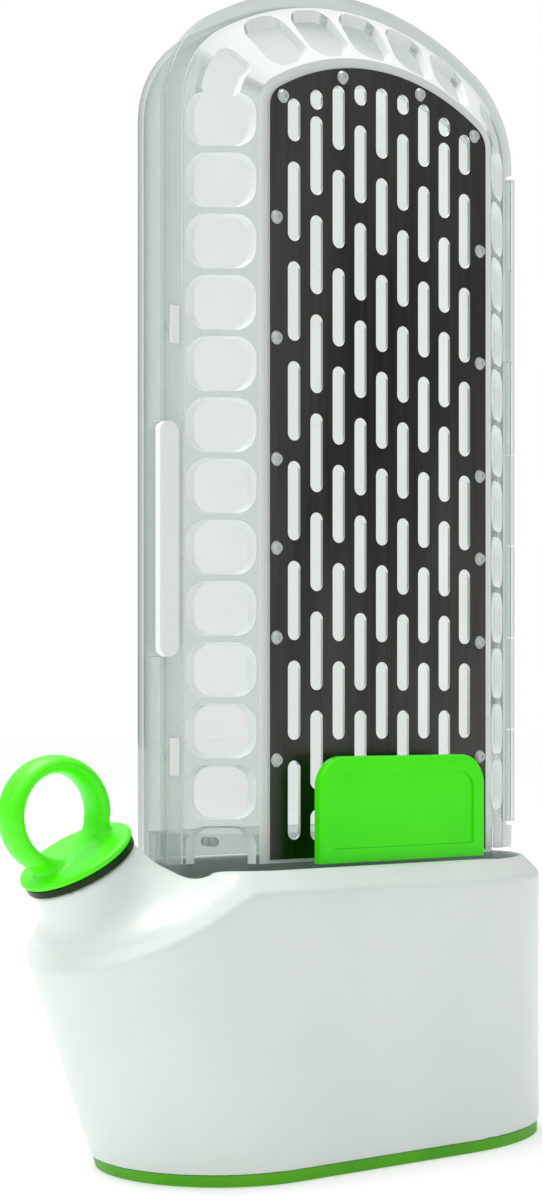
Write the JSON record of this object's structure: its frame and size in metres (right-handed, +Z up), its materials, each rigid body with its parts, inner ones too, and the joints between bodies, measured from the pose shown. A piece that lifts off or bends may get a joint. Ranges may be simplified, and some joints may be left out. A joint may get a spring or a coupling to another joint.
{
  "type": "herb keeper",
  "caption": "Clear upright herb pod with a hinged slotted steel door, standing in a white water base with a side filler spout and a ring-pull cap.",
  "frame": {"origin": "underside of the sole at table level, below the middle of the pod's width and of the base's depth", "axes": "+Z up; -Y is the front with the slotted plate; -X is the side with the filler spout"},
  "size_m": [0.1619, 0.062, 0.292],
  "materials": {
    "white_shell": "smooth moulded white, soft gloss",
    "green_sole": "smooth soft green sole",
    "lime_cap": "satin soft lime green",
    "lime_tab": "gloss lime green",
    "dark_seal": "dark glossy seal",
    "clear_shell": "clear polished",
    "clear_door": "clear polished with frosted window rims",
    "clear_cup": "clear polished",
    "clear_pins": "clear polished",
    "clear_rivets": "clear formed stakes",
    "plate_steel": "fine vertical brush, bright cut edges",
    "screw_steel": "plain"
  },
  "bodies": {
    "base": {"base_shell": "white_shell", "base_deck": "white_shell", "base_ledge": "white_shell", "base_floor": "white_shell", "base_sole": "green_sole"},
    "cap": {"fill_cap": "lime_cap", "cap_stem": "lime_cap", "cap_seal": "dark_seal"},
    "pod": {"rear_shell": "clear_shell", "pod_foot": "clear_cup", "foot_pins": "clear_pins", "hinge_pin": "clear_pins"},
    "door": {"front_shell": "clear_door", "front_plate": "plate_steel", "plate_rivets": "clear_rivets", "pull_tab": "lime_tab", "tab_screws": "screw_steel"}
  },
  "joints": [
    {"name": "pod_lift", "type": "slide", "parent": "base", "child": "pod", "axis": [0, 0, 1], "range_m": [0, 0.09]},
    {"name": "door_swing", "type": "hinge", "parent": "pod", "child": "door", "pos_m": [0.0573, 0.0012, 0.167], "axis": [0, 0, 1], "range_deg": [0, 170]},
    {"name": "cap_pull", "type": "slide", "parent": "base", "child": "cap", "axis": [-0.5075, 0, 0.8616], "range_m": [0, 0.03]}
  ]
}
